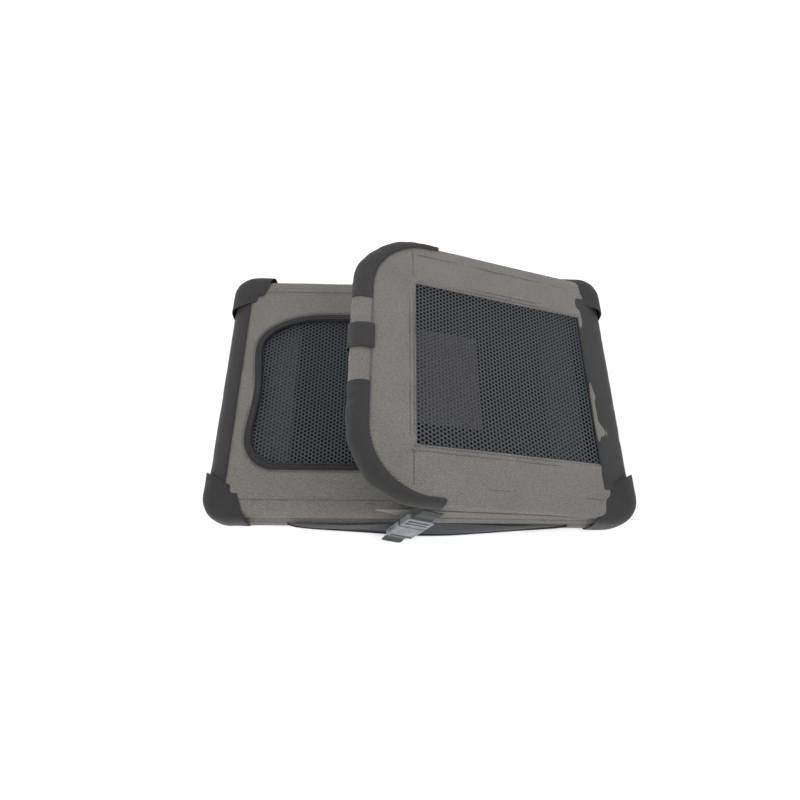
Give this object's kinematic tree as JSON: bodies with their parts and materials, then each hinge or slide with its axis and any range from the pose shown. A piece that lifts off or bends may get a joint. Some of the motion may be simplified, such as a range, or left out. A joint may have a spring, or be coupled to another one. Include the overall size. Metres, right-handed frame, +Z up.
{
  "type": "folding pet carrier",
  "caption": "Soft-sided folding pet carrier, folded flat: a fabric-covered tube frame with two mesh end panels that hinge up from the base, side-release straps and a zipped mesh door.",
  "frame": {"origin": "centre of the underside of the base, on the surface it rests on", "axes": "+X along the length towards the end whose panel lies on top, +Y to the back, +Z up"},
  "size_m": [0.6, 0.4422, 0.158],
  "materials": {
    "steel_tube": "black powder coat",
    "pin_steel": "plain steel",
    "bracket_plastic": "moulded, fine grain",
    "buckle_plastic": "moulded, satin",
    "zipper_metal": "black enamel",
    "mesh": "open hexagonal knit",
    "black_fabric": "woven polyester binding",
    "webbing": "ribbed webbing",
    "zipper_tape": "knitted tape with coil",
    "mat_fleece": "short fleece",
    "grey_fabric": "heathered oxford weave"
  },
  "bodies": {
    "base": {"bottom_panel": "black_fabric", "floor_mat": "mat_fleece", "base_rail_front": "steel_tube", "base_rail_sleeve_front": "grey_fabric", "wall_right_half_front": "grey_fabric", "wall_left_half_front": "grey_fabric", "base_rail_back": "steel_tube", "base_rail_sleeve_back": "grey_fabric", "wall_right_half_back": "grey_fabric", "wall_left_half_back": "grey_fabric", "base_rail_left": "steel_tube", "base_rail_sleeve_left": "grey_fabric", "edge_band_left": "black_fabric", "left_hinge_pins": "pin_steel", "corner_bracket_front_left": "bracket_plastic", "corner_cover_front_left": "black_fabric", "corner_bracket_back_left": "bracket_plastic", "corner_cover_back_left": "black_fabric", "base_rail_right": "steel_tube", "base_rail_sleeve_right": "grey_fabric", "edge_band_right": "black_fabric", "right_hinge_pins": "pin_steel", "corner_bracket_front_right": "bracket_plastic", "corner_cover_front_right": "black_fabric", "corner_bracket_back_right": "bracket_plastic", "corner_cover_back_right": "black_fabric"},
    "right_end": {"right_frame_tube": "steel_tube", "right_frame_sleeve": "grey_fabric", "right_end_panel": "grey_fabric", "right_window_mesh": "mesh", "right_loop": "webbing", "free_corner_cover_front_right": "black_fabric", "free_corner_cover_back_right": "black_fabric"},
    "left_end": {"left_frame_tube": "steel_tube", "left_frame_sleeve": "grey_fabric", "left_end_panel": "grey_fabric", "door_mesh": "mesh", "door_zip_tape": "zipper_tape", "free_corner_cover_front_left": "black_fabric", "free_corner_cover_back_left": "black_fabric"},
    "top_right": {"top_panel_right": "grey_fabric", "top_tunnel_right": "grey_fabric"},
    "top_left": {"top_panel_left": "grey_fabric", "top_tunnel_left": "grey_fabric"},
    "front_strap": {"strap_upper_front": "webbing", "strap_lower_front": "webbing", "buckle_socket_front": "buckle_plastic", "buckle_tongue_front": "buckle_plastic"},
    "front_prong_left": {"buckle_prong_front_left": "buckle_plastic"},
    "front_prong_right": {"buckle_prong_front_right": "buckle_plastic"},
    "zip_slider_front": {"zip_slider_front": "zipper_metal"},
    "zip_pull_front": {"zip_pull_front": "zipper_metal"},
    "back_strap": {"strap_upper_back": "webbing", "strap_lower_back": "webbing", "buckle_socket_back": "buckle_plastic", "buckle_tongue_back": "buckle_plastic"},
    "back_prong_left": {"buckle_prong_back_left": "buckle_plastic"},
    "back_prong_right": {"buckle_prong_back_right": "buckle_plastic"},
    "zip_slider_back": {"zip_slider_back": "zipper_metal"},
    "zip_pull_back": {"zip_pull_back": "zipper_metal"}
  },
  "joints": [
    {"name": "right_end_fold", "type": "hinge", "parent": "base", "child": "right_end", "pos_m": [0.275, 0, 0.038], "axis": [0, 1, 0], "range_deg": [0, 72.5], "deforming": ["wall_right_half_front", "wall_right_half_back"]},
    {"name": "left_end_fold", "type": "hinge", "parent": "base", "child": "left_end", "pos_m": [-0.275, 0, 0.029], "axis": [0, -1, 0], "range_deg": [0, 90], "deforming": ["wall_left_half_front", "wall_left_half_back"]},
    {"name": "top_right_fold", "type": "hinge", "parent": "right_end", "child": "top_right", "pos_m": [-0.06834, 0, 0.14625], "axis": [0, 1, 0], "range_deg": [0, 89.06], "deforming": ["top_panel_right"]},
    {"name": "top_left_fold", "type": "hinge", "parent": "left_end", "child": "top_left", "pos_m": [0.085, 0, 0.029], "axis": [0, -1, 0], "range_deg": [0, 90.94], "deforming": ["top_panel_left"]},
    {"name": "front_strap_swing", "type": "hinge", "parent": "right_end", "child": "front_strap", "pos_m": [0.014, -0.1995, 0.112], "axis": [0, -1, 0], "range_deg": [0, 99.07]},
    {"name": "front_buckle_squeeze_left", "type": "hinge", "parent": "front_strap", "child": "front_prong_left", "pos_m": [-0.02232, -0.20769, 0.06833], "axis": [0, -0.9829, 0.1843], "range_deg": [0, 8], "stiffness_Nm_per_rad": 0.2},
    {"name": "front_buckle_squeeze_right", "type": "hinge", "parent": "front_strap", "child": "front_prong_right", "pos_m": [0.00101, -0.2098, 0.05706], "axis": [0, 0.9829, -0.1843], "range_deg": [0, 8], "stiffness_Nm_per_rad": 0.2},
    {"name": "door_zip_front", "type": "slide", "parent": "left_end", "child": "zip_slider_front", "axis": [-1, 0, 0], "range_m": [0, 0.13]},
    {"name": "zip_pull_front_turn", "type": "hinge", "parent": "zip_slider_front", "child": "zip_pull_front", "pos_m": [-0.069, -0.1235, 0.0446], "axis": [0, -1, 0], "range_deg": [0, 120]},
    {"name": "back_strap_swing", "type": "hinge", "parent": "right_end", "child": "back_strap", "pos_m": [0.014, 0.1995, 0.112], "axis": [0, -1, 0], "range_deg": [0, 99.07]},
    {"name": "back_buckle_squeeze_left", "type": "hinge", "parent": "back_strap", "child": "back_prong_left", "pos_m": [-0.02232, 0.20769, 0.06833], "axis": [0, -0.9829, -0.1843], "range_deg": [0, 8], "stiffness_Nm_per_rad": 0.2},
    {"name": "back_buckle_squeeze_right", "type": "hinge", "parent": "back_strap", "child": "back_prong_right", "pos_m": [0.00101, 0.2098, 0.05706], "axis": [0, 0.9829, 0.1843], "range_deg": [0, 8], "stiffness_Nm_per_rad": 0.2},
    {"name": "door_zip_back", "type": "slide", "parent": "left_end", "child": "zip_slider_back", "axis": [-1, 0, 0], "range_m": [0, 0.13]},
    {"name": "zip_pull_back_turn", "type": "hinge", "parent": "zip_slider_back", "child": "zip_pull_back", "pos_m": [-0.069, 0.1235, 0.0446], "axis": [0, -1, 0], "range_deg": [0, 120]}
  ],
  "couplings": [
    {"joint": "left_end_fold", "follows": "right_end_fold", "ratio": 1.2414},
    {"joint": "top_right_fold", "follows": "right_end_fold", "ratio": 1.2284},
    {"joint": "top_left_fold", "follows": "right_end_fold", "ratio": 1.2543},
    {"joint": "front_strap_swing", "follows": "right_end_fold", "ratio": 1.3663},
    {"joint": "back_strap_swing", "follows": "right_end_fold", "ratio": 1.3663}
  ]
}
